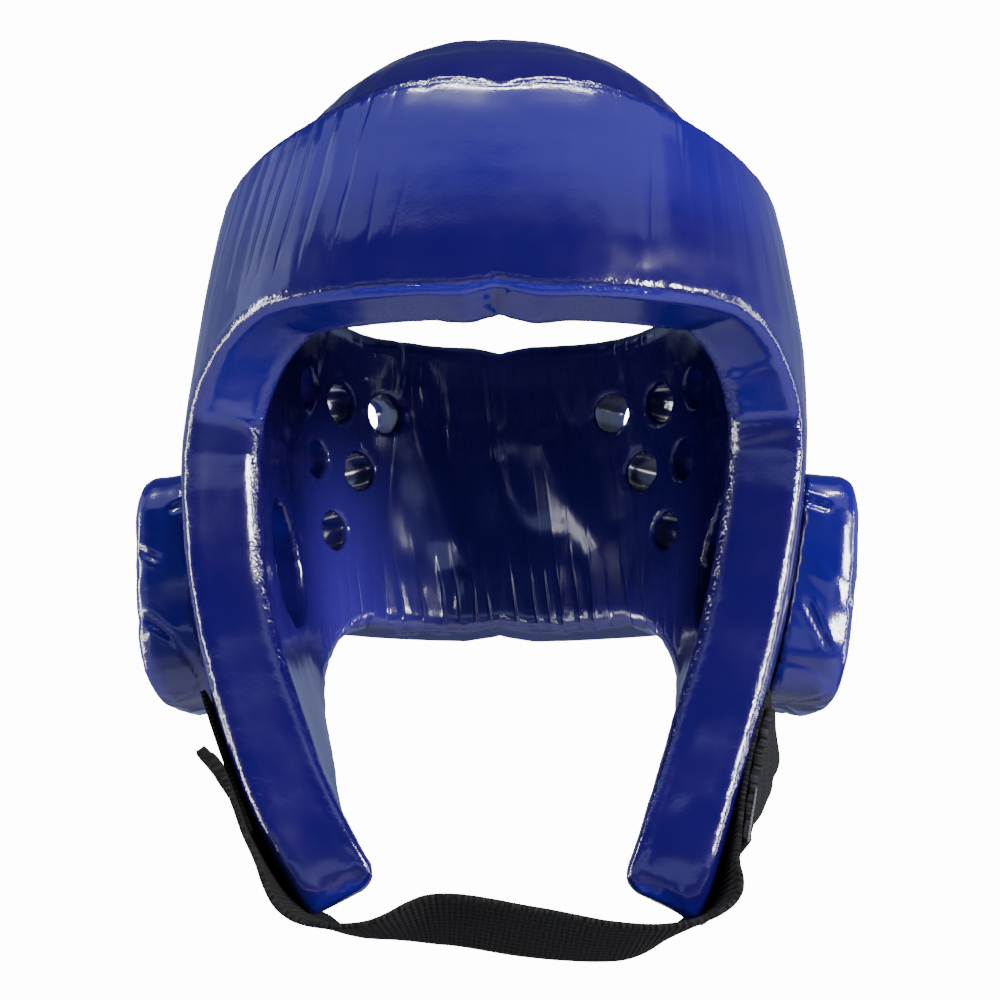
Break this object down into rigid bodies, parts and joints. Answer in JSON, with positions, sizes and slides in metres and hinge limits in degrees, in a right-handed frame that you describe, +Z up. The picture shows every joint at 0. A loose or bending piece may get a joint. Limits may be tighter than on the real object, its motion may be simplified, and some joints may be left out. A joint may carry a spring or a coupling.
{
  "type": "padded martial arts head guard",
  "caption": "Open-face head guard of glossy dipped foam with a forehead band, cheek arms, ear cups, a vented back panel, a crown pad and an elastic chin strap.",
  "frame": {"origin": "the point inside the crown pad where the top of the head rests", "axes": "+Z up along the worn head, -Y the way the face looks, +X the wearer's left"},
  "size_m": [0.2358, 0.2272, 0.3049],
  "materials": {
    "dipped_skin": "glossy dipped vinyl skin over foam",
    "elastic_webbing": "ribbed elastic webbing",
    "hook_tape": "matt hook tape",
    "loop_tape": "fuzzy loop tape"
  },
  "bodies": {
    "root": {"shell_half_left": "dipped_skin", "shell_half_right": "dipped_skin", "ear_cup_left": "dipped_skin", "ear_cup_right": "dipped_skin", "crown_pad": "dipped_skin", "chin_strap": "elastic_webbing", "hook_patch": "hook_tape", "loop_patch": "loop_tape"}
  },
  "joints": []
}
